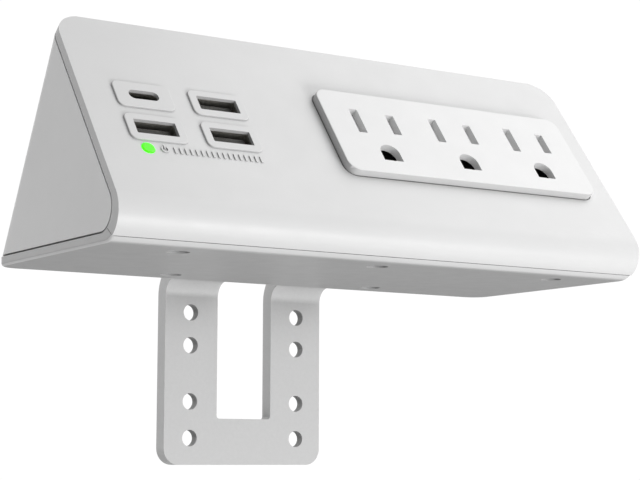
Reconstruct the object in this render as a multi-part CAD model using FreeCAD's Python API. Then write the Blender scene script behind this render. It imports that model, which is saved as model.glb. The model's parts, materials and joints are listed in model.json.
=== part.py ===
"""Desk power strip: a wedge body with three outlets and four USB ports, on a bracket
that screws to the edge of a desk.

Millimetres. +X runs along the body, +Y towards its back, +Z up. The origin is the
centre of the flat underside that rests on the desk top.
"""
import math
import os

import FreeCAD
import Part

V = FreeCAD.Vector

# Body
BODY_LENGTH = 177.8
BODY_HEIGHT = 68.2
FLAT_DEPTH = 71.5          # flat of the underside, front to back
FRONT_ANGLE = 52.8         # front face above horizontal
REAR_ANGLE = 60.5          # back face above horizontal
NOSE_RADIUS = 8.05
INNER_NOSE_RADIUS = 6.45
SEAM_ANGLE = 54.5          # seam below horizontal, seen from the nose's centre
SHELL = 2.7
CORNER_RADIUS = 6.2        # back corners
COVER_CORNER_RADIUS = 8.5  # top corners of the front cover
GAP = 0.5                  # shadow gap between the covers and the end walls
EDGE_ROUND = 1.0           # rounding around the underside
HOUSING_TOP = 3.6          # top of the rear housing below the apex

# Outlets, in the front face's own frame: x along the body, d down the slope
OUTLET_COUNT = 3
OUTLET_PITCH = 28.8
OUTLET_MID_X = 34.3
BLADE_D = 32.8
BLADE_SPACING = 12.7
LONG_SLOT = (2.95, 9.9)
SHORT_SLOT = (2.95, 8.3)
GROUND_D = 45.45
GROUND_RADIUS = 3.35
GROUND_FLAT = 3.25         # pin centre to the hole's flat lower side
PLATE_SIZE = (92.2, 33.7)
PLATE_D = 37.25
PLATE_RAISE = 2.4
PLATE_CORNER = 3.8
PLATE_EDGE = 0.3
PLATE_GROOVE = (0.3, 0.5)  # shadow line around the plate: width and depth
SPIGOT_SIZE = (90.0, 28.4)
SPIGOT_DEPTH = 4.5
SPIGOT_WALL = 1.6
BASE_TOP = 2.6             # depth of the contact carrier's face below the front face
BASE_DEPTH = 15.2
STRIP_THICKNESS = 0.8

# Shutters
SHUTTER_SIZE = (16.4, 12.4, 2.0)
SHUTTER_DEPTH = 0.3        # depth of the shutter's face below the front face
SHUTTER_TRAVEL = 3.4
SPRING_LENGTH = 5.0
SPRING_RADIUS = 0.75
SPRING_WIRE = 0.15

# USB ports and indicator
PORT_X = (-69.9, -46.5)
PORT_D = (31.33, 44.17)
BEZEL_SIZE = (17.6, 10.1)
BEZEL_RAISE = 0.55
BEZEL_CORNER = 2.1
BEZEL_EDGE = 0.25
USB_A_OPENING = (12.75, 5.36)
USB_C_OPENING = (9.2, 3.5)
USB_SHELL_DEPTH = 12.0
USB_BOARD_DEPTH = 13.2
BOARD = 1.6
INDICATOR_X = -74.5
INDICATOR_D = 52.05
INDICATOR_RADIUS = 1.95

# Plain raised mark beside the indicator
MARK_X = -69.5
MARK_RAISE = 0.3
RIB_X = (-66.4, -39.6)
RIB_COUNT = 17
RIB_SIZE = (0.6, 2.2)

# Bracket
BRACKET_WIDTH = 57.2
BRACKET_LEG = 18.7
BRACKET_THICKNESS = 5.0
BRACKET_SETBACK = 7.6      # desk-edge face behind the body's back edge
BRACKET_DROP = 57.15
BRACKET_GAP_DROP = 42.6
BRACKET_BEND = 4.9
BRACKET_CORNER = 5.2
BRACKET_LIFT = 0.5         # flange above the underside plane
BRACKET_HOLE_RADIUS = 2.6
BRACKET_SINK = 1.8         # countersink for screw heads, on the side away from the desk
BRACKET_HOLE_X = 19.55
BRACKET_HOLE_Z = (-9.4, -19.75, -37.4, -48.8)
FLANGE_FRONT_Y = 14.0
FLANGE_SCREW_X = (14.5, 24.0)
FLANGE_SCREW_Y = 22.5
LEDGE = 4.0

# Bottom screws
FRONT_SCREW_X = (-63.2, 1.8, 66.8)
FRONT_SCREW_Y = -28.0
BACK_SCREW_X = (-36.5, 36.5)
BACK_SCREW_Y = 26.2
RECESS_RADIUS = 3.2
RECESS_DEPTH = 2.6
PAD_TOP = 4.5
POST_TOP_D = 52.5          # the front screw posts stop below the outlets and ports

# Power board, flat on the bottom cover
POWER_BOARD_X = (-82.0, -32.0)
POWER_BOARD_Y = (-22.0, 17.0)
POWER_BOARD_Z = 7.0

# Cord gland, in the back face's own frame
GLAND_X = 62.0
GLAND_UP = 24.0
GLAND_BORE = 3.6
GLAND_THREAD = 5.9

HALF = BODY_LENGTH / 2
BACK_Y = FLAT_DEPTH / 2 + EDGE_ROUND
SLOPE = math.radians(FRONT_ANGLE)
RISE = math.radians(REAR_ANGLE)
NOSE_Y = -FLAT_DEPTH / 2
TANGENT_Y = NOSE_Y - NOSE_RADIUS * math.sin(SLOPE)
TANGENT_Z = NOSE_RADIUS * (1 + math.cos(SLOPE))
APEX_Y = TANGENT_Y + (BODY_HEIGHT - TANGENT_Z) / math.tan(SLOPE)
INNER_Z = SHELL + INNER_NOSE_RADIUS
INNER_Y = APEX_Y + (INNER_Z - (BODY_HEIGHT - INNER_Z) * math.cos(SLOPE)) / math.sin(SLOPE)
NOSE = (NOSE_Y, NOSE_RADIUS)
INNER_NOSE = (INNER_Y, INNER_Z)
OUTLET_X = [OUTLET_MID_X + OUTLET_PITCH * (i - (OUTLET_COUNT - 1) / 2) for i in range(OUTLET_COUNT)]
PORTS = {"usb_c": (PORT_X[0], PORT_D[0]), "usb_a_lower_left": (PORT_X[0], PORT_D[1]),
         "usb_a_upper_right": (PORT_X[1], PORT_D[0]), "usb_a_lower_right": (PORT_X[1], PORT_D[1])}


# Helpers

def box(x0, x1, y0, y1, z0, z1):
    return Part.makeBox(x1 - x0, y1 - y0, z1 - z0, V(x0, y0, z0))


def block(x, d, size, w0, w1, corner=0.0):
    """A block in the front face's frame: centred on x and on d down the slope."""
    body = box(x - size[0] / 2, x + size[0] / 2, -d - size[1] / 2, -d + size[1] / 2, w0, w1)
    if corner:
        body = body.makeFillet(corner, upright(body))
    return body


def post(x, d, radius, w0, w1):
    return Part.makeCylinder(radius, w1 - w0, V(x, -d, w0))


def pole(x, y, radius, z0, z1):
    return Part.makeCylinder(radius, z1 - z0, V(x, y, z0))


def upright(body):
    """The straight edges that run along Z."""
    return [e for e in body.Edges if len(e.Vertexes) == 2
            and abs(e.tangentAt(e.FirstParameter).z) > 0.999]


def edges_at(body, height):
    """The edges that lie in the plane at one height."""
    return [e for e in body.Edges if abs(e.BoundBox.ZMin - height) < 1e-4
            and abs(e.BoundBox.ZMax - height) < 1e-4]


def join(first, *others):
    return first.fuse(list(others)).removeSplitter() if others else first


def on_front(body):
    """Put a body drawn in the front face's frame in its place on the slope."""
    body = body.copy()
    frame = FreeCAD.Placement(V(0, APEX_Y, BODY_HEIGHT), FreeCAD.Rotation(V(1, 0, 0), FRONT_ANGLE))
    body.Placement = frame.multiply(body.Placement)
    return body


def on_back(body):
    """Put a body drawn in the back face's frame (y outward, z up the face) in its place."""
    body = body.copy()
    frame = FreeCAD.Placement(V(0, BACK_Y, SHELL), FreeCAD.Rotation(V(1, 0, 0), 90 - REAR_ANGLE))
    body.Placement = frame.multiply(body.Placement)
    return body


def nose_point(centre, radius, degrees):
    """A point around a centre in the nose; 0 points forward, 90 straight down."""
    a = math.radians(degrees)
    return V(0, centre[0] - radius * math.cos(a), centre[1] - radius * math.sin(a))


def nose_arc(centre, radius, start, end):
    middle = nose_point(centre, radius, (start + end) / 2)
    return Part.Arc(nose_point(centre, radius, start), middle, nose_point(centre, radius, end)).toShape()


def line(a, b):
    return Part.LineSegment(a, b).toShape()


def extrude(edges, half):
    """Close a profile drawn in the YZ plane and extrude it to x = -half..half."""
    face = Part.Face(Part.Wire(edges))
    face.translate(V(-half, 0, 0))
    return face.extrude(V(2 * half, 0, 0))


def slope_point(d, w):
    """A point d down the front face and w out from it, in the YZ plane."""
    return V(0, APEX_Y - d * math.cos(SLOPE) - w * math.sin(SLOPE),
             BODY_HEIGHT - d * math.sin(SLOPE) + w * math.cos(SLOPE))


def screw(x, y, z, radius, length, head_radius, head, up=1):
    """A pan-head screw whose head seats at z, with its shank running up (1) or down (-1)."""
    low = min(z, z + up * length)
    shank = pole(x, y, radius, low, low + length)
    low = min(z, z - up * head)
    cap = pole(x, y, head_radius, low, low + head)
    cap = cap.makeFillet(head * 0.35, edges_at(cap, z - up * head))
    low = min(z - up * head, z - up * head * 0.45)
    slots = [box(x - a, x + a, y - b, y + b, low, low + head * 0.55)
             for a, b in ((head_radius * 0.6, 0.3), (0.3, head_radius * 0.6))]
    return join(shank, cap).cut(slots)


# Covers

def front_cover():
    """Thin panel down the front and round the nose to the seam."""
    bend = FRONT_ANGLE - 90
    seam_out = nose_point(NOSE, NOSE_RADIUS, SEAM_ANGLE)
    seam_in = nose_point(INNER_NOSE, INNER_NOSE_RADIUS, SEAM_ANGLE)
    skin = extrude([line(slope_point(0, 0), nose_point(NOSE, NOSE_RADIUS, bend)),
                    nose_arc(NOSE, NOSE_RADIUS, bend, SEAM_ANGLE),
                    line(seam_out, seam_in),
                    nose_arc(INNER_NOSE, INNER_NOSE_RADIUS, SEAM_ANGLE, bend),
                    line(nose_point(INNER_NOSE, INNER_NOSE_RADIUS, bend), slope_point(0, -SHELL)),
                    line(slope_point(0, -SHELL), slope_point(0, 0))], HALF)
    corners = [e for e in skin.Edges if abs(e.Length - SHELL) < 1e-4
               and e.BoundBox.ZMax > BODY_HEIGHT - 1e-4]
    skin = skin.makeFillet(COVER_CORNER_RADIUS, corners)
    skin = skin.cut(on_back(box(-HALF - 1, HALF + 1, 0, 20, -10, 110)))
    posts = [pole(x, FRONT_SCREW_Y, 4.0, PAD_TOP + 0.1, 40) for x in FRONT_SCREW_X]
    inside = on_front(box(-HALF, HALF, -90, -POST_TOP_D, -60, -SHELL / 2))
    posts = [p.common(inside) for p in posts]
    board_posts = [on_front(post(x, d, 2.6, -USB_BOARD_DEPTH + 0.1, -SHELL / 2)) for x, d in board_holes()]
    base_posts = [on_front(post(x, d, 3.0, -4.6, -SHELL / 2)) for x, d in ear_holes()]
    cover = join(skin, *(posts + board_posts + base_posts), on_front(mark()))
    holes = [on_front(block(OUTLET_MID_X, PLATE_D, (SPIGOT_SIZE[0] + 0.2, SPIGOT_SIZE[1] + 0.2), -9, 1))]
    holes.append(on_front(plate_groove()))
    holes += [on_front(block(x, d, (BEZEL_SIZE[0] - 2.3, BEZEL_SIZE[1] - 2.3), -5, 1)) for x, d in PORTS.values()]
    holes.append(on_front(post(INDICATOR_X, INDICATOR_D, INDICATOR_RADIUS + 0.1, -5, 1)))
    holes += [pole(x, FRONT_SCREW_Y, 1.52, 0, 15) for x in FRONT_SCREW_X]
    holes += [on_front(post(x, d, 1.02, -20, -8)) for x, d in board_holes()]
    holes += [on_front(post(x, d, 1.27, -6, -1.0)) for x, d in ear_holes()]
    return cover.cut(holes)


def plate_groove():
    """Narrow channel in the cover that runs around the edge of the outlet faceplate."""
    width, depth = PLATE_GROOVE
    outer = [s + 2 * width for s in PLATE_SIZE]
    inner = [s - 1.0 for s in PLATE_SIZE]
    return block(OUTLET_MID_X, PLATE_D, outer, -depth, 1, PLATE_CORNER + width).cut(
        block(OUTLET_MID_X, PLATE_D, inner, -depth, 1, PLATE_CORNER - 0.5))


def mark():
    """Plain raised power symbol and a row of blank ribs beside the indicator."""
    low, high = -0.2, MARK_RAISE
    ring = post(MARK_X, INDICATOR_D, 1.2, low, high).cut(post(MARK_X, INDICATOR_D, 0.8, low, high))
    ring = ring.cut(block(MARK_X, INDICATOR_D - 1, (1.0, 1.6), low, high))
    bar = block(MARK_X, INDICATOR_D - 0.9, (0.4, 1.5), low, high)
    step = (RIB_X[1] - RIB_X[0]) / (RIB_COUNT - 1)
    ribs = [block(RIB_X[0] + step * i, INDICATOR_D, RIB_SIZE, low, high) for i in range(RIB_COUNT)]
    return Part.makeCompound([ring, bar] + ribs)


def bottom_cover():
    """Flat underside with the lower part of the nose, square in front and rounded behind."""
    seam = SEAM_ANGLE + 1.5
    plate = extrude([nose_arc(NOSE, NOSE_RADIUS, seam, 90),
                     line(nose_point(NOSE, NOSE_RADIUS, 90), V(0, BACK_Y, 0)),
                     line(V(0, BACK_Y, 0), V(0, BACK_Y, SHELL)),
                     line(V(0, BACK_Y, SHELL), nose_point(INNER_NOSE, INNER_NOSE_RADIUS, 90)),
                     nose_arc(INNER_NOSE, INNER_NOSE_RADIUS, 90, seam),
                     line(nose_point(INNER_NOSE, INNER_NOSE_RADIUS, seam),
                          nose_point(NOSE, NOSE_RADIUS, seam))], HALF)
    corners = [e for e in upright(plate) if e.BoundBox.YMax > BACK_Y - 1e-4]
    plate = plate.makeFillet(CORNER_RADIUS, corners)
    rim = [e for e in plate.Edges if e.BoundBox.ZMin < 1e-4 and e.BoundBox.YMax > NOSE_Y + 1e-4]
    plate = plate.makeFillet(EDGE_ROUND, rim)
    pads = [pole(x, y, RECESS_RADIUS + 1.6, SHELL / 2, PAD_TOP) for x, y in cover_screw_spots()]
    standoffs = [pole(x, y, 2.8, SHELL / 2, POWER_BOARD_Z) for x, y in power_board_holes()]
    plate = join(plate, *(pads + standoffs))
    cuts = [pole(x, y, RECESS_RADIUS, -1, RECESS_DEPTH) for x, y in cover_screw_spots()]
    cuts += [pole(x, y, 1.7, 0, 10) for x, y in cover_screw_spots()]
    cuts += [pole(x, y, 1.27, 3.0, 10) for x, y in power_board_holes()]
    for side in (-1, 1):
        low, high = sorted((side * (BRACKET_WIDTH / 2 + 0.2), side * (BRACKET_WIDTH / 2 - BRACKET_LEG - 0.2)))
        cuts.append(box(low, high, FLANGE_FRONT_Y - 0.2, BACK_Y + 1, BRACKET_LIFT, 10))
    return plate.cut(cuts)


def rear_housing():
    """Sloping back wall with its two triangular end walls, bosses and bracket ledges."""
    bend = FRONT_ANGLE - 90
    inner = INNER_NOSE_RADIUS - GAP
    floor = SHELL + GAP
    top = BODY_HEIGHT - HOUSING_TOP
    back = [BACK_Y - (z - SHELL) / math.tan(RISE) for z in (floor, top)]
    front_top = APEX_Y + (SHELL + GAP) / math.sin(SLOPE) - (BODY_HEIGHT - top) / math.tan(SLOPE)
    wedge = extrude([line(V(0, front_top, top), nose_point(INNER_NOSE, inner, bend)),
                     nose_arc(INNER_NOSE, inner, bend, 90),
                     line(nose_point(INNER_NOSE, inner, 90), V(0, back[0], floor)),
                     line(V(0, back[0], floor), V(0, back[1], top)),
                     line(V(0, back[1], top), V(0, front_top, top))], HALF)
    outside = wedge.common(on_back(rear_core(0)))
    hollow = on_back(rear_core(SHELL)).cut(box(-HALF, HALF, -60, 60, top - SHELL, 90))
    shell = outside.cut(hollow)
    bosses = [pole(x, BACK_SCREW_Y, 4.0, PAD_TOP + 0.1, 40).common(outside) for x in BACK_SCREW_X]
    ledge_z = BRACKET_LIFT + BRACKET_THICKNESS + 0.1
    ledges = [box(min(a, b), max(a, b), FLANGE_FRONT_Y + 1, 40, ledge_z, ledge_z + LEDGE).common(outside)
              for a, b in leg_spans(0.0)]
    shell = join(shell, *(bosses + ledges))
    cuts = [pole(x, BACK_SCREW_Y, 1.52, 0, 12) for x in BACK_SCREW_X]
    cuts += [box(min(a, b), max(a, b), FLANGE_FRONT_Y, 40, 0, ledge_z) for a, b in leg_spans(0.25)]
    cuts += [pole(x, FLANGE_SCREW_Y, 2.2, 0, ledge_z + LEDGE + 1) for x in flange_screw_x()]
    cuts.append(on_back(gland_cylinder(GLAND_THREAD + 0.05, -10, 10)))
    return shell.cut(cuts)


def rear_core(wall):
    """Tall block behind the back face with its two back edges rounded, less a wall."""
    half = HALF - wall
    body = box(-half, half, -120, -wall, -30, 110)
    edges = [e for e in upright(body) if e.BoundBox.YMax > -wall - 1e-4]
    return body.makeFillet(CORNER_RADIUS - wall, edges)


def leg_spans(clearance):
    """The x ranges of the bracket's two legs, widened by a clearance."""
    outer = BRACKET_WIDTH / 2 + clearance
    inner = BRACKET_WIDTH / 2 - BRACKET_LEG - clearance
    return [(-outer, -inner), (inner, outer)]


def cover_screw_spots():
    return [(x, FRONT_SCREW_Y) for x in FRONT_SCREW_X] + [(x, BACK_SCREW_Y) for x in BACK_SCREW_X]


def cover_screws():
    return Part.makeCompound([screw(x, y, RECESS_DEPTH, 1.5, 9.0, 2.7, 1.7) for x, y in cover_screw_spots()])


# Outlets

def slot_cutters(x, low, high):
    """The three holes of one outlet: long slot, short slot and arched ground hole."""
    half = BLADE_SPACING / 2
    arch = post(x, GROUND_D, GROUND_RADIUS, low, high)
    foot = block(x, GROUND_D + GROUND_FLAT / 2, (2 * GROUND_RADIUS, GROUND_FLAT), low, high)
    return [block(x - half, BLADE_D, LONG_SLOT, low, high, 0.25),
            block(x + half, BLADE_D, SHORT_SLOT, low, high, 0.25), join(arch, foot)]


def outlet_faceplate():
    """Raised face with the outlet holes, and a rim with snap hooks through the cover."""
    plate = block(OUTLET_MID_X, PLATE_D, PLATE_SIZE, 0, PLATE_RAISE, PLATE_CORNER)
    plate = plate.makeFillet(PLATE_EDGE, edges_at(plate, PLATE_RAISE))
    rim = block(OUTLET_MID_X, PLATE_D, SPIGOT_SIZE, -SPIGOT_DEPTH, 0)
    cavity = [s - 2 * SPIGOT_WALL for s in SPIGOT_SIZE]
    rim = rim.cut(block(OUTLET_MID_X, PLATE_D, cavity, -SPIGOT_DEPTH, 0))
    hooks = [snap_hook(OUTLET_MID_X + x, side) for x in (-22, 0, 22) for side in (-1, 1)]
    plate = join(plate, rim, *hooks)
    return on_front(plate.cut([c for x in OUTLET_X for c in slot_cutters(x, -1, PLATE_RAISE + 1)]))


def snap_hook(x, side):
    """A small wedge on the rim that catches behind the front cover."""
    y = -PLATE_D + side * SPIGOT_SIZE[1] / 2
    deep = -SPIGOT_DEPTH
    points = [V(x - 3, y, deep), V(x - 3, y + side * 0.8, -SHELL - 0.6), V(x - 3, y + side * 0.8, -SHELL - 0.1),
              V(x - 3, y, -SHELL - 0.1)]
    return Part.Face(Part.makePolygon(points + points[:1])).extrude(V(6, 0, 0))


def shutter(x):
    """Sliding shutter of one outlet: it covers both slots until two blades push its ramps."""
    length, height, thick = SHUTTER_SIZE
    top = -SHUTTER_DEPTH
    plate = block(x, BLADE_D, (length, height), top - thick, top, 0.6)
    half = BLADE_SPACING / 2
    window = block(x + half - SHUTTER_TRAVEL, BLADE_D, (SHORT_SLOT[0] + 0.35, LONG_SLOT[1] + 0.4),
                   top - thick, top)
    ramps = [ramp(x + side * half, top) for side in (-1, 1)]
    return on_front(plate.cut([window] + ramps))


def ramp(x, top):
    """Wedge that slopes down towards -x, so a blade pushing in moves the shutter to +x."""
    half = SHORT_SLOT[0] / 2 + 0.1
    width = LONG_SLOT[1] + 0.4
    y = -BLADE_D - width / 2
    points = [V(x - half, y, top), V(x + half, y, top), V(x - half, y, top - 1.3)]
    return Part.Face(Part.makePolygon(points + points[:1])).extrude(V(0, width, 0))


def shutter_spring(x):
    """Compression spring between a shutter and its stop on the contact carrier."""
    turns = 5
    helix = Part.makeHelix(SPRING_LENGTH / turns - 0.06, SPRING_LENGTH - 2 * SPRING_WIRE - 0.1, SPRING_RADIUS)
    circle = Part.Wire(Part.makeCircle(SPRING_WIRE, V(SPRING_RADIUS, 0, 0), V(0, 1, 0)))
    coil = Part.Wire(helix).makePipeShell([circle], True, True)
    start = x + SHUTTER_SIZE[0] / 2 + SPRING_WIRE + 0.05
    coil.Placement = FreeCAD.Placement(V(start, -BLADE_D, -SHUTTER_DEPTH - SHUTTER_SIZE[2] / 2),
                                       FreeCAD.Rotation(V(0, 1, 0), 90))
    return on_front(coil)


def base_size():
    return [s - 2 * SPIGOT_WALL - 0.4 for s in SPIGOT_SIZE]


def outlet_base():
    """Contact carrier behind the faceplate, with shutter rails, contact chambers and ears."""
    size = base_size()
    low = -BASE_TOP - BASE_DEPTH
    body = block(OUTLET_MID_X, PLATE_D, size, low, -BASE_TOP)
    ears = block(OUTLET_MID_X, PLATE_D, (size[0] + 17, 20.0), -6.2, -4.7, 3.0)
    extras = [ears]
    for x in OUTLET_X:
        spring_end = x + SHUTTER_SIZE[0] / 2 + SPRING_LENGTH
        extras.append(box(spring_end, spring_end + 0.9, -BLADE_D - 3, -BLADE_D + 3, -BASE_TOP, -0.1))
        for d, width in ((BLADE_D - SHUTTER_SIZE[1] / 2 - 0.75, 0.9), (BLADE_D + SHUTTER_SIZE[1] / 2 + 0.8, 1.0)):
            extras.append(block(x, d, (24.0, width), -BASE_TOP, -0.1))
    body = join(body, *extras)
    cuts = []
    for x in OUTLET_X:
        cuts += [block(x + side * BLADE_SPACING / 2, BLADE_D, (3.8, 10.6), low, 0) for side in (-1, 1)]
        cuts.append(post(x, GROUND_D, 3.7, low, 0))
    cuts += [post(x, d, 1.4, -8, -4) for x, d in ear_holes()]
    return on_front(body.cut(cuts))


def ear_holes():
    offset = base_size()[0] / 2 + 5
    return [(OUTLET_MID_X + side * offset, PLATE_D + step) for side in (-1, 1) for step in (-6.5, 6.5)]


def outlet_back_cover():
    low = -BASE_TOP - BASE_DEPTH - STRIP_THICKNESS - 0.1
    return on_front(block(OUTLET_MID_X, PLATE_D, base_size(), low - 1.5, low, 1.0))


def outlet_screws():
    return on_front(Part.makeCompound([screw(x, -d, -6.2, 1.25, 5.0, 2.3, 1.5) for x, d in ear_holes()]))


def strip(d, width):
    """Flat strip that runs behind all the outlets."""
    low = -BASE_TOP - BASE_DEPTH - STRIP_THICKNESS
    length = OUTLET_PITCH * (OUTLET_COUNT - 1) + 22
    return block(OUTLET_MID_X, d, (length, width), low, low + STRIP_THICKNESS)


def blade_busbar(side, strip_d):
    """Strip with a pair of blade-gripping leaves at every outlet."""
    low = -BASE_TOP - BASE_DEPTH - STRIP_THICKNESS
    parts = []
    for x in OUTLET_X:
        x += side * BLADE_SPACING / 2
        near, far = sorted((strip_d, BLADE_D))
        parts.append(block(x, (near + far) / 2, (2.8, far - near + 5), low, low + STRIP_THICKNESS))
        for edge in (-1, 1):
            leaf = block(x + edge * 0.95, BLADE_D, (0.6, 6.0), low, -5.0)
            parts.append(leaf)
            parts.append(block(x + edge * 1.35, BLADE_D, (0.4, 6.0), -6.0, -5.0))
    return on_front(join(strip(strip_d, 2.6), *parts))


def ground_busbar():
    """Strip with a split sleeve for the ground pin at every outlet."""
    low = -BASE_TOP - BASE_DEPTH - STRIP_THICKNESS
    parts = []
    for x in OUTLET_X:
        sleeve = post(x, GROUND_D, 2.9, low, -5.0).cut(post(x, GROUND_D, 2.45, low + STRIP_THICKNESS, -5.0))
        parts.append(sleeve.cut(block(x, GROUND_D, (0.8, 7.0), low + 4, -4.0)))
    return on_front(join(strip(GROUND_D, 4.0), *parts))


# USB ports and indicator

def bezel(port, opening):
    """Raised frame around one port, with a pocket behind its lip for the metal shell."""
    x, d = PORTS[port]
    frame = block(x, d, BEZEL_SIZE, 0, BEZEL_RAISE, BEZEL_CORNER)
    frame = frame.makeFillet(BEZEL_EDGE, edges_at(frame, BEZEL_RAISE))
    sleeve = block(x, d, (BEZEL_SIZE[0] - 2.5, BEZEL_SIZE[1] - 2.5), -3.4, 0)
    pocket = block(x, d, shell_size(opening, 0.1), -4, -0.5)
    corner = 0.35 if port != "usb_c" else opening[1] / 2 - 0.05
    return on_front(join(frame, sleeve).cut([pocket, block(x, d, opening, -4, 2, corner)]))


def shell_size(opening, clearance):
    return opening[0] + 0.7 + clearance, opening[1] + 0.7 + clearance


def port_shell(port, opening):
    """Thin metal shell of one receptacle, closed at the back."""
    x, d = PORTS[port]
    size = shell_size(opening, -0.1)
    corner = 0.5 if port != "usb_c" else size[1] / 2 - 0.05
    back = -USB_SHELL_DEPTH - 0.6
    shell = block(x, d, size, back, -0.6, corner)
    inner = [s - 0.7 for s in size]
    return on_front(shell.cut(block(x, d, inner, back + 0.4, 0, corner - 0.35)))


def port_tongue(port, size, shift):
    """Contact-carrying tongue inside one receptacle."""
    x, d = PORTS[port]
    back = -USB_SHELL_DEPTH - 0.2
    return on_front(block(x, d + shift, size, back, -1.8, 0.2))


def board_holes():
    xs = (PORT_X[0] - 11.5, PORT_X[1] + 11.5)
    return [(x, d) for x in xs for d in (PORT_D[0] - 4.5, PORT_D[1] + 4.5)]


def usb_board():
    x, d = (PORT_X[0] + PORT_X[1]) / 2, (PORT_D[0] + PORT_D[1]) / 2 + 1.5
    plate = block(x, d, (52.4, 29.0), -USB_BOARD_DEPTH - BOARD, -USB_BOARD_DEPTH, 1.5)
    return on_front(plate.cut([post(x, d, 1.15, -20, -10) for x, d in board_holes()]))


def led():
    """Surface-mount lamp on the board under the light pipe."""
    base = block(INDICATOR_X, INDICATOR_D, (3.0, 2.6), -USB_BOARD_DEPTH, -USB_BOARD_DEPTH + 0.6)
    return on_front(join(base, post(INDICATOR_X, INDICATOR_D, 1.0, -USB_BOARD_DEPTH, -USB_BOARD_DEPTH + 1.1)))


def led_lens():
    """Light pipe from the lamp to the domed green window in the front face."""
    pipe = post(INDICATOR_X, INDICATOR_D, INDICATOR_RADIUS, -USB_BOARD_DEPTH + 1.4, 0.35)
    pipe = pipe.makeFillet(0.4, edges_at(pipe, 0.35))
    collar = post(INDICATOR_X, INDICATOR_D, INDICATOR_RADIUS + 0.9, -SHELL - 1.1, -SHELL - 0.1)
    return on_front(join(pipe, collar))


def board_screws():
    low = -USB_BOARD_DEPTH - BOARD
    upper = [on_front(screw(x, -d, low, 1.0, 4.5, 1.9, 1.2)) for x, d in board_holes()]
    flat = [screw(x, y, POWER_BOARD_Z + BOARD, 1.25, 4.5, 2.3, 1.4, -1) for x, y in power_board_holes()]
    return Part.makeCompound(upper + flat)


# Power supply

def power_board_holes():
    xs = (POWER_BOARD_X[0] + 4, POWER_BOARD_X[1] - 4)
    ys = (POWER_BOARD_Y[0] + 4, POWER_BOARD_Y[1] - 4)
    return [(x, y) for x in xs for y in ys]


def power_board():
    plate = box(*POWER_BOARD_X, *POWER_BOARD_Y, POWER_BOARD_Z, POWER_BOARD_Z + BOARD)
    plate = plate.makeFillet(1.5, upright(plate))
    return plate.cut([pole(x, y, 1.4, 0, 20) for x, y in power_board_holes()])


def transformer():
    """Wound bobbin in a square core."""
    z = POWER_BOARD_Z + BOARD
    core = box(-62, -42, -6, 10, z + 2.0, z + 13)
    core = core.cut([box(-62, -42, -3.5, -0.2, z + 2, z + 10.5), box(-62, -42, 4.2, 7.5, z + 2, z + 10.5)])
    bobbin = box(-60, -44, -5, 9, z, z + 2.0)
    winding = box(-59, -45, -3.4, 7.4, z + 2.1, z + 10.3)
    return join(core, bobbin, winding)


def capacitors():
    z = POWER_BOARD_Z + BOARD
    cans = [pole(x, y, 4.0, z, z + 12) for x, y in ((-70, 7), (-70, -3))]
    return Part.makeCompound([c.makeFillet(0.6, edges_at(c, z + 12)) for c in cans])


def gland_cylinder(radius, inner, outer):
    """A cylinder through the back wall at the gland, between two depths from its face."""
    return Part.makeCylinder(radius, outer - inner, V(GLAND_X, inner, GLAND_UP), V(0, 1, 0))


def cord_gland():
    """Cord inlet through the back wall: domed collar outside, threaded sleeve inside."""
    dome = gland_cylinder(8.0, 0.05, 5.0)
    outer = [e for e in dome.Edges if e.BoundBox.YMin > 4.9]
    dome = dome.makeFillet(2.2, outer)
    body = join(dome, gland_cylinder(GLAND_THREAD, -9.0, 0.1))
    return on_back(body.cut(gland_cylinder(GLAND_BORE, -12, 8)))


def gland_nut():
    points = [V(GLAND_X + 8 * math.cos(math.radians(60 * i)), -SHELL - 3.6,
                GLAND_UP + 8 * math.sin(math.radians(60 * i))) for i in range(7)]
    nut = Part.Face(Part.makePolygon(points)).extrude(V(0, 3.5, 0))
    return on_back(nut.cut(gland_cylinder(GLAND_THREAD + 0.05, -12, 0)))


# Bracket

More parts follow.
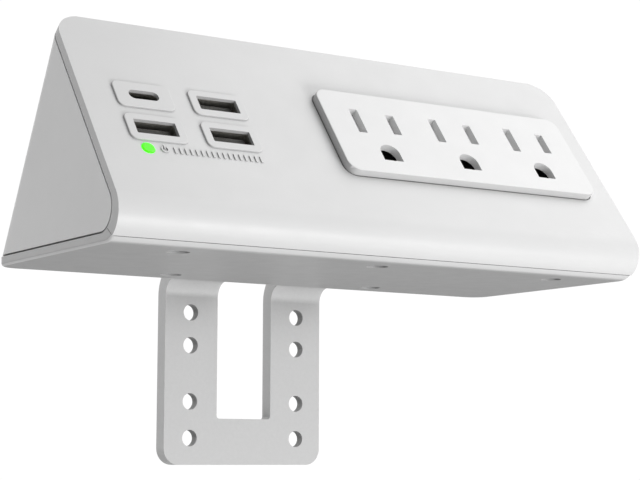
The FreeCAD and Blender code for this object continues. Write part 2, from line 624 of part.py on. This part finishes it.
def bracket():
    """U-shaped plate on the desk's edge; its two legs bend forward into flanges."""
    face_y = BACK_Y + BRACKET_SETBACK
    outer_y = face_y + BRACKET_THICKNESS
    low, high = BRACKET_LIFT, BRACKET_LIFT + BRACKET_THICKNESS
    bend_y, bend_z = face_y - BRACKET_BEND, low - BRACKET_BEND
    outer = BRACKET_BEND + BRACKET_THICKNESS
    diag = math.sqrt(0.5)
    plate = extrude([
        line(V(0, face_y, -BRACKET_DROP), V(0, face_y, bend_z)),
        Part.Arc(V(0, face_y, bend_z), V(0, bend_y + BRACKET_BEND * diag, bend_z + BRACKET_BEND * diag),
                 V(0, bend_y, low)).toShape(),
        line(V(0, bend_y, low), V(0, FLANGE_FRONT_Y, low)),
        line(V(0, FLANGE_FRONT_Y, low), V(0, FLANGE_FRONT_Y, high)),
        line(V(0, FLANGE_FRONT_Y, high), V(0, bend_y, high)),
        Part.Arc(V(0, bend_y, high), V(0, bend_y + outer * diag, bend_z + outer * diag),
                 V(0, outer_y, bend_z)).toShape(),
        line(V(0, outer_y, bend_z), V(0, outer_y, -BRACKET_DROP)),
        line(V(0, outer_y, -BRACKET_DROP), V(0, face_y, -BRACKET_DROP))], BRACKET_WIDTH / 2)
    corners = [e for e in plate.Edges if e.BoundBox.ZMax < -BRACKET_DROP + 1e-4
               and e.BoundBox.XLength < 1e-4]
    plate = plate.makeFillet(BRACKET_CORNER, corners)
    half_gap = BRACKET_WIDTH / 2 - BRACKET_LEG
    gap = box(-half_gap, half_gap, 0, 60, -BRACKET_GAP_DROP, 20)
    foot = [e for e in gap.Edges if e.BoundBox.ZMax < -BRACKET_GAP_DROP + 1e-4 and e.BoundBox.XLength < 1e-4]
    holes = [Part.makeCylinder(BRACKET_HOLE_RADIUS, 30, V(side * BRACKET_HOLE_X, face_y - 10, z), V(0, 1, 0))
             for side in (-1, 1) for z in BRACKET_HOLE_Z]
    holes += [Part.makeCone(BRACKET_HOLE_RADIUS, BRACKET_HOLE_RADIUS + BRACKET_SINK, BRACKET_SINK,
                            V(side * BRACKET_HOLE_X, outer_y - BRACKET_SINK, z), V(0, 1, 0))
              for side in (-1, 1) for z in BRACKET_HOLE_Z]
    taps = [pole(x, FLANGE_SCREW_Y, 2.0, 0, 20) for x in flange_screw_x()]
    return plate.cut([gap.makeFillet(1.0, foot)] + holes + taps)


def flange_screw_x():
    return [side * x for side in (-1, 1) for x in FLANGE_SCREW_X]


def bracket_screws():
    seat = BRACKET_LIFT + BRACKET_THICKNESS + 0.1 + LEDGE
    return Part.makeCompound([screw(x, FLANGE_SCREW_Y, seat, 1.98, LEDGE + 4.0, 3.5, 2.4, -1)
                              for x in flange_screw_x()])


def parts():
    """Every named piece of the power strip."""
    made = {"front_cover": front_cover(), "bottom_cover": bottom_cover(), "rear_housing": rear_housing(),
            "cover_screws": cover_screws(), "outlet_faceplate": outlet_faceplate(),
            "outlet_base": outlet_base(), "outlet_back_cover": outlet_back_cover(),
            "outlet_screws": outlet_screws(), "neutral_busbar": blade_busbar(-1, 25.2),
            "live_busbar": blade_busbar(1, 37.6), "ground_busbar": ground_busbar(),
            "usb_board": usb_board(), "board_screws": board_screws(), "led": led(), "led_lens": led_lens(),
            "power_board": power_board(), "transformer": transformer(), "capacitors": capacitors(),
            "cord_gland": cord_gland(), "gland_nut": gland_nut(), "bracket": bracket(),
            "bracket_screws": bracket_screws()}
    for place, x in zip(("left", "middle", "right"), OUTLET_X):
        made["shutter_" + place] = shutter(x)
        made["shutter_spring_" + place] = shutter_spring(x)
    for port in PORTS:
        opening = USB_C_OPENING if port == "usb_c" else USB_A_OPENING
        tongue, shift = ((6.7, 0.7), 0.0) if port == "usb_c" else ((11.1, 1.8), -0.75)
        made[port + "_bezel"] = bezel(port, opening)
        made[port + "_shell"] = port_shell(port, opening)
        made[port + "_tongue"] = port_tongue(port, tongue, shift)
    return made


os.makedirs("parts", exist_ok=True)
for name, body in parts().items():
    body.exportStep("parts/" + name + ".step")
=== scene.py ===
"""Looks for the desk power strip: camera, studio light, floor and procedural materials."""
import json
import math

import bpy
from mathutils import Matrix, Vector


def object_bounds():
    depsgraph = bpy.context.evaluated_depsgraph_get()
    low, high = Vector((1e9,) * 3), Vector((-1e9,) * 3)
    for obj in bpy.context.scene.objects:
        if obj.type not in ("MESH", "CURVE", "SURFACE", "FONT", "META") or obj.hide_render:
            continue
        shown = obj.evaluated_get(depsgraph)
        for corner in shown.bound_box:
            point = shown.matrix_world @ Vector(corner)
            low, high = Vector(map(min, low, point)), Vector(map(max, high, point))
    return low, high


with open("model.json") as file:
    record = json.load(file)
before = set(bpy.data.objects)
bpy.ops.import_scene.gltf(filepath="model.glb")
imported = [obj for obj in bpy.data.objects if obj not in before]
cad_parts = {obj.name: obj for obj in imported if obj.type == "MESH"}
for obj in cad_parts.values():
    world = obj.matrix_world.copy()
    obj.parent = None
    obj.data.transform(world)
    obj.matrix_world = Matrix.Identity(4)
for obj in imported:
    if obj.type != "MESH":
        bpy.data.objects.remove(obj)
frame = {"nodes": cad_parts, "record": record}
cad_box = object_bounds()

# Lengths are in metres, light powers in watts and colours linear.

FRONT_SLOPE = math.radians(52.8)

NOISE_LOW = 0.3
NOISE_HIGH = 0.7
# Painted shade in crevices, from ambient occlusion: its reach and samples.
CREVICE_SHADE_REACH = 0.03
CREVICE_SHADE_SAMPLES = 12
# Painted shade: how dark the covers' underside is painted.
UNDERSIDE_PAINTED_SHADE = 0.56
# Painted shade on the side walls of raised mouldings, and how far it reaches inside holes.
LEFT_WALL_PAINTED_SHADE = 0.75
INNER_WALL_PAINTED_SHADE = 0.92
FACEPLATE_RIM = (-0.0112, 0.0268)
RIM_SOFTNESS = 0.0005

WHITE = (0.80, 0.80, 0.80)
FACEPLATE_WHITE = (0.885, 0.885, 0.885)

FLOOR_GREY = 0.5
FLOOR_RADIUS = 15
FLOOR_DROP = 0.4
ROOM_BEHIND = 1.03
ROOM_LEFT = 0.36
ROOM_RIGHT = 0.66

CAMERA_PLACE = (-0.285945, -0.443558, -0.05388)
CAMERA_ANGLES = (96.9545, -0.1864, -32.8483)
SENSOR_WIDTH = 36
LENS = 99.077
CLIP_START = 0.01


# Shader helpers

def new_material(name, metallic=0.0):
    material = bpy.data.materials.new(name)
    material.use_nodes = True
    tree = material.node_tree
    shader = tree.nodes["Principled BSDF"]
    shader.inputs["Metallic"].default_value = metallic
    place = tree.nodes.new("ShaderNodeTexCoord")
    return material, tree, shader, place.outputs["Object"]


def noise(tree, where, scale, detail=3.0, rough=0.55, stretch=(1, 1, 1)):
    mapping = tree.nodes.new("ShaderNodeMapping")
    mapping.inputs["Scale"].default_value = stretch
    texture = tree.nodes.new("ShaderNodeTexNoise")
    texture.inputs["Scale"].default_value = scale
    texture.inputs["Detail"].default_value = detail
    texture.inputs["Roughness"].default_value = rough
    tree.links.new(where, mapping.inputs["Vector"])
    tree.links.new(mapping.outputs["Vector"], texture.inputs["Vector"])
    return texture.outputs["Fac"]


def tint(color, factor):
    return tuple(min(1.0, c * factor) for c in color)


def two_tone(tree, factor, first, second):
    """Runs from the first colour to the second over the values that noise mostly has."""
    node = tree.nodes.new("ShaderNodeValToRGB")
    stops = zip(node.color_ramp.elements, (NOISE_LOW, NOISE_HIGH), (first, second))
    for element, position, color in stops:
        element.position = position
        element.color = (*color, 1)
    tree.links.new(factor, node.inputs["Fac"])
    return node.outputs["Color"]


def fade(tree, value, start, end, first, last, curve="SMOOTHSTEP"):
    """Goes from first to last while the value goes from start to end."""
    node = tree.nodes.new("ShaderNodeMapRange")
    node.interpolation_type = curve
    node.inputs["From Min"].default_value = start
    node.inputs["From Max"].default_value = end
    node.inputs["To Min"].default_value = first
    node.inputs["To Max"].default_value = last
    tree.links.new(value, node.inputs["Value"])
    return node.outputs["Result"]


def vary_roughness(tree, shader, factor, least, most):
    """Surface roughness between two values, following a noise."""
    rough = fade(tree, factor, NOISE_LOW, NOISE_HIGH, least, most, "LINEAR")
    tree.links.new(rough, shader.inputs["Roughness"])


def bump(tree, shader, heights):
    """Chain bumps, each a (height socket, distance in metres, strength)."""
    normal = None
    for height, distance, strength in heights:
        node = tree.nodes.new("ShaderNodeBump")
        node.inputs["Distance"].default_value = distance
        node.inputs["Strength"].default_value = strength
        tree.links.new(height, node.inputs["Height"])
        if normal:
            tree.links.new(normal, node.inputs["Normal"])
        normal = node.outputs["Normal"]
    tree.links.new(normal, shader.inputs["Normal"])


def surface_normal(tree):
    return tree.nodes.new("ShaderNodeNewGeometry").outputs["Normal"]


def components(tree, vector):
    """The X, Y and Z outputs of a vector."""
    node = tree.nodes.new("ShaderNodeSeparateXYZ")
    tree.links.new(vector, node.inputs["Vector"])
    return node.outputs


def calculate(tree, operation, *values):
    """One arithmetic operation on one or two numbers."""
    node = tree.nodes.new("ShaderNodeMath")
    node.operation = operation
    for value, socket in zip(values, node.inputs):
        tree.links.new(value, socket)
    return node.outputs["Value"]


def scaled(tree, shade, amount):
    """A colour multiplied by a number."""
    node = tree.nodes.new("ShaderNodeVectorMath")
    node.operation = "SCALE"
    tree.links.new(shade, node.inputs[0])
    tree.links.new(amount, node.inputs["Scale"])
    return node.outputs["Vector"]


# Painted shade that depends on the place or the direction of a face

def painted_end_and_underside_shade(tree, shade, painted_end_color):
    """Painted shade: a cover's end faces and its underside are painted darker than its front.
    """
    axis = components(tree, surface_normal(tree))
    sideways = calculate(tree, "ABSOLUTE", axis["X"])
    # Painted shade on the end faces.
    mix = tree.nodes.new("ShaderNodeMix")
    mix.data_type = "RGBA"
    tree.links.new(fade(tree, sideways, 0.85, 0.97, 0.0, 1.0), mix.inputs["Factor"])
    tree.links.new(shade, mix.inputs["A"])
    mix.inputs["B"].default_value = (*painted_end_color, 1)
    # Painted shade on the underside, where less light reaches.
    under = fade(tree, axis["Z"], -1.0, -0.93, UNDERSIDE_PAINTED_SHADE, 1.0)
    return scaled(tree, mix.outputs["Result"], under)


def painted_crevice_shade(tree, shade, amount):
    """Painted shade from ambient occlusion: corners and recesses are darker, by up to the
    amount where they are deepest.
    """
    crevice = tree.nodes.new("ShaderNodeAmbientOcclusion")
    crevice.samples = CREVICE_SHADE_SAMPLES
    crevice.inputs["Distance"].default_value = CREVICE_SHADE_REACH
    return scaled(tree, shade, fade(tree, crevice.outputs["AO"], 0.1, 0.95, 1.0 - amount, 1.0))


def painted_wall_shade(tree, where, shade, wall_painted_shade, rim):
    """Painted shade: the side walls of a raised moulding are painted darker than its face,
    most on the left.

    With rim = (x, z), walls right of x and above z stay pale, so that holes do.
    """
    normal = surface_normal(tree)
    facing = tree.nodes.new("ShaderNodeVectorMath")
    facing.operation = "DOT_PRODUCT"
    facing.inputs[1].default_value = (0, -math.sin(FRONT_SLOPE), math.cos(FRONT_SLOPE))
    tree.links.new(normal, facing.inputs[0])
    wall = fade(tree, facing.outputs["Value"], 0.2, 0.95, wall_painted_shade, 1.0)
    left = fade(tree, components(tree, normal)["X"], -0.95, -0.3, LEFT_WALL_PAINTED_SHADE, 1.0)
    amount = calculate(tree, "MULTIPLY", wall, left)
    if rim:
        amount = less_painted_shade_inside(tree, where, amount, rim)
    return scaled(tree, shade, amount)


def less_painted_shade_inside(tree, where, amount, rim):
    """Inside the rim, the painted wall shade goes no darker than the inner wall value."""
    spot = components(tree, where)
    right = fade(tree, spot["X"], rim[0], rim[0] + RIM_SOFTNESS, 0.0, 1.0)
    above = fade(tree, spot["Z"], rim[1], rim[1] + RIM_SOFTNESS, 0.0, 1.0)
    mix = tree.nodes.new("ShaderNodeMix")
    mix.inputs["B"].default_value = INNER_WALL_PAINTED_SHADE
    tree.links.new(calculate(tree, "MULTIPLY", right, above), mix.inputs["Factor"])
    tree.links.new(amount, mix.inputs["A"])
    return calculate(tree, "MAXIMUM", amount, mix.outputs["Result"])


# Materials

def plastic(name, color, rough, grain=0.00004, end_painted_shade=None, wall_painted_shade=None, rim=None):
    """Moulded plastic: fine spark-eroded grain, faint flow marks and uneven gloss, optionally
    with painted shade.
    """
    material, tree, shader, where = new_material(name)
    flow = noise(tree, where, scale=28, detail=4, rough=0.6, stretch=(0.6, 1, 1))
    shade = two_tone(tree, flow, tint(color, 0.975), tint(color, 1.015))
    # Painted shade on the end faces, underside, crevices and side walls.
    if end_painted_shade:
        shade = painted_end_and_underside_shade(tree, shade, tint(color, end_painted_shade))
        shade = painted_crevice_shade(tree, shade, 0.6)
    if wall_painted_shade:
        shade = painted_wall_shade(tree, where, shade, wall_painted_shade, rim)
    tree.links.new(shade, shader.inputs["Base Color"])
    gloss = noise(tree, where, scale=160, detail=5)
    vary_roughness(tree, shader, gloss, rough - 0.04, rough + 0.05)
    fine = noise(tree, where, scale=2600, detail=2)
    waves = noise(tree, where, scale=60, detail=2)
    bump(tree, shader, [(fine, grain, 0.35), (waves, 0.0002, 0.06)])
    shader.inputs["IOR"].default_value = 1.5
    return material


def powder_coat(name, color, rough):
    """Powder coat on steel: orange peel, pinhead speckle and uneven gloss, with painted shade
    in its crevices.
    """
    material, tree, shader, where = new_material(name)
    speckle = noise(tree, where, scale=900, detail=3)
    shade = two_tone(tree, speckle, tint(color, 0.98), tint(color, 1.015))
    # Painted shade in the bracket's crevices and under the body.
    tree.links.new(painted_crevice_shade(tree, shade, 0.8), shader.inputs["Base Color"])
    gloss = noise(tree, where, scale=220, detail=4)
    vary_roughness(tree, shader, gloss, rough - 0.06, rough + 0.06)
    peel = noise(tree, where, scale=700, detail=2)
    waves = noise(tree, where, scale=90, detail=2)
    bump(tree, shader, [(peel, 0.0001, 0.12), (waves, 0.0003, 0.05)])
    return material


def metal(name, color, rough):
    """Drawn or turned metal: fine directional brushing over clouded plating."""
    material, tree, shader, where = new_material(name, metallic=1.0)
    cloud = noise(tree, where, scale=120, detail=4)
    shade = two_tone(tree, cloud, tint(color, 0.86), tint(color, 1.08))
    tree.links.new(shade, shader.inputs["Base Color"])
    lines = noise(tree, where, scale=1500, detail=2, rough=0.5, stretch=(1, 1, 14))
    vary_roughness(tree, shader, lines, rough - 0.08, rough + 0.1)
    bump(tree, shader, [(lines, 0.00003, 0.3)])
    return material


def circuit_board(name):
    """Solder mask with faint copper tracks underneath."""
    material, tree, shader, where = new_material(name)
    tracks = tree.nodes.new("ShaderNodeTexBrick")
    tracks.inputs["Scale"].default_value = 260
    tracks.inputs["Mortar Size"].default_value = 0.03
    tracks.inputs["Color1"].default_value = (0.012, 0.11, 0.045, 1)
    tracks.inputs["Color2"].default_value = (0.016, 0.13, 0.055, 1)
    tracks.inputs["Mortar"].default_value = (0.05, 0.24, 0.1, 1)
    tree.links.new(where, tracks.inputs["Vector"])
    tree.links.new(tracks.outputs["Color"], shader.inputs["Base Color"])
    vary_roughness(tree, shader, noise(tree, where, scale=500), 0.25, 0.4)
    bump(tree, shader, [(tracks.outputs["Fac"], 0.00005, 0.4)])
    return material


def glow(name, color, strength):
    """Tinted light pipe lit from behind, with a faint haze in it."""
    material, tree, shader, where = new_material(name)
    haze = two_tone(tree, noise(tree, where, scale=400, detail=3), tint(color, 0.85), color)
    tree.links.new(haze, shader.inputs["Base Color"])
    tree.links.new(haze, shader.inputs["Emission Color"])
    shader.inputs["Emission Strength"].default_value = strength
    vary_roughness(tree, shader, noise(tree, where, scale=300), 0.15, 0.28)
    bump(tree, shader, [(noise(tree, where, scale=1500), 0.00003, 0.2)])
    return material


MATERIALS = {
    "shell_plastic": plastic("shell_plastic", WHITE, 0.5),
    # The faceplate's side walls get painted shade.
    "faceplate_plastic": plastic("faceplate_plastic", FACEPLATE_WHITE, 0.38, grain=0.00002,
                                 wall_painted_shade=0.7, rim=FACEPLATE_RIM),
    "carrier_plastic": plastic("carrier_plastic", (0.03, 0.03, 0.03), 0.5),
    "shutter_plastic": plastic("shutter_plastic", (0.82, 0.82, 0.82), 0.4),
    "bracket_paint": powder_coat("bracket_paint", (0.66, 0.66, 0.66), 0.45),
    "screw_steel": metal("screw_steel", (0.5, 0.5, 0.51), 0.32),
    "spring_steel": metal("spring_steel", (0.55, 0.55, 0.56), 0.25),
    "contact_brass": metal("contact_brass", (0.72, 0.5, 0.22), 0.3),
    "port_shell": metal("port_shell", (0.78, 0.76, 0.71), 0.35),
    "port_tongue": plastic("port_tongue", (0.03, 0.03, 0.028), 0.45),
    "circuit_board": circuit_board("circuit_board"),
    "led_package": plastic("led_package", (0.8, 0.8, 0.7), 0.2),
    "indicator_green": glow("indicator_green", (0.06, 1.0, 0.0), strength=1.0),
    "transformer_core": plastic("transformer_core", (0.04, 0.04, 0.045), 0.6),
    "capacitor_can": metal("capacitor_can", (0.55, 0.55, 0.58), 0.3),
    "gland_plastic": plastic("gland_plastic", (0.75, 0.75, 0.75), 0.4),
}
# Covers: painted shade on their end faces, underside and crevices.
SHADE_PAINTED_COVERS = plastic("cover_plastic_painted_shade", WHITE, 0.4, end_painted_shade=0.69)
# Bezels: painted shade on their side walls.
SHADE_PAINTED_BEZELS = plastic("bezel_plastic_painted_shade", WHITE, 0.45, wall_painted_shade=0.7)

slots = {part["node"]: part["material_slot"] for part in frame["record"]["subparts"]}
for node, piece in frame["nodes"].items():
    material = MATERIALS[slots[node]]
    if node in ("front_cover", "bottom_cover"):
        material = SHADE_PAINTED_COVERS
    elif node.endswith("_bezel"):
        material = SHADE_PAINTED_BEZELS
    piece.data.materials.clear()
    piece.data.materials.append(material)


# Stage

def add_floor(height):
    bpy.ops.mesh.primitive_circle_add(vertices=128, radius=FLOOR_RADIUS, fill_type="NGON",
                                      location=(0, 0, height))
    floor = bpy.context.object
    floor.name = "floor"
    material, tree, shader, where = new_material("floor_paper")
    mottle = noise(tree, where, scale=6, detail=3)
    shade = two_tone(tree, mottle, (FLOOR_GREY,) * 3, (FLOOR_GREY + 0.02,) * 3)
    tree.links.new(shade, shader.inputs["Base Color"])
    shader.inputs["Roughness"].default_value = 0.9
    floor.data.materials.append(material)


def area_light(name, location, target, size, power):
    data = bpy.data.lights.new(name, "AREA")
    data.shape = "RECTANGLE"
    data.size, data.size_y = size
    data.energy = power
    lamp = bpy.data.objects.new(name, data)
    lamp.location = location
    x, y, z = (t - l for t, l in zip(target, location))
    lamp.rotation_euler = (math.atan2(math.hypot(x, y), -z), 0, math.atan2(-x, y))
    bpy.context.scene.collection.objects.link(lamp)


def studio_world():
    """Pale room: white behind the object, dimmer in front of it and to its left."""
    world = bpy.data.worlds.new("studio")
    world.use_nodes = True
    tree = world.node_tree
    background = tree.nodes["Background"]
    place = tree.nodes.new("ShaderNodeTexCoord")
    axis = components(tree, place.outputs["Generated"])
    mix = tree.nodes.new("ShaderNodeMix")
    tree.links.new(fade(tree, axis["Y"], 0.1, 0.5, 0.0, 1.0), mix.inputs["Factor"])
    tree.links.new(fade(tree, axis["X"], -0.9, 0.7, ROOM_LEFT, ROOM_RIGHT), mix.inputs["A"])
    mix.inputs["B"].default_value = ROOM_BEHIND
    tree.links.new(mix.outputs["Result"], background.inputs["Strength"])
    background.inputs["Color"].default_value = (1, 1, 1, 1)
    bpy.context.scene.world = world


def add_camera():
    data = bpy.data.cameras.new("camera")
    data.sensor_width = SENSOR_WIDTH
    data.lens = LENS
    data.clip_start = CLIP_START
    camera = bpy.data.objects.new("camera", data)
    camera.location = CAMERA_PLACE
    camera.rotation_euler = [math.radians(angle) for angle in CAMERA_ANGLES]
    bpy.context.scene.collection.objects.link(camera)
    bpy.context.scene.camera = camera


studio_world()
add_floor(cad_box[0][2] - FLOOR_DROP)
area_light("key", location=(0.24, -0.1, 0.33), target=(0.0, -0.02, 0.03),
           size=(0.3, 0.3), power=0.52)
area_light("low_fill", location=(0.25, -0.68, -0.32), target=(0.0, 0.0, 0.0),
           size=(0.5, 0.25), power=3.05)
area_light("left_fill", location=(-0.35, 0.12, -0.12), target=(-0.089, 0.0, 0.0),
           size=(0.2, 0.2), power=0.08)
area_light("nose_strip", location=(0.25, -0.34, -0.4), target=(0.0, -0.04, 0.0),
           size=(0.5, 0.06), power=0.35)
add_camera()
bpy.context.scene.view_settings.view_transform = "Standard"
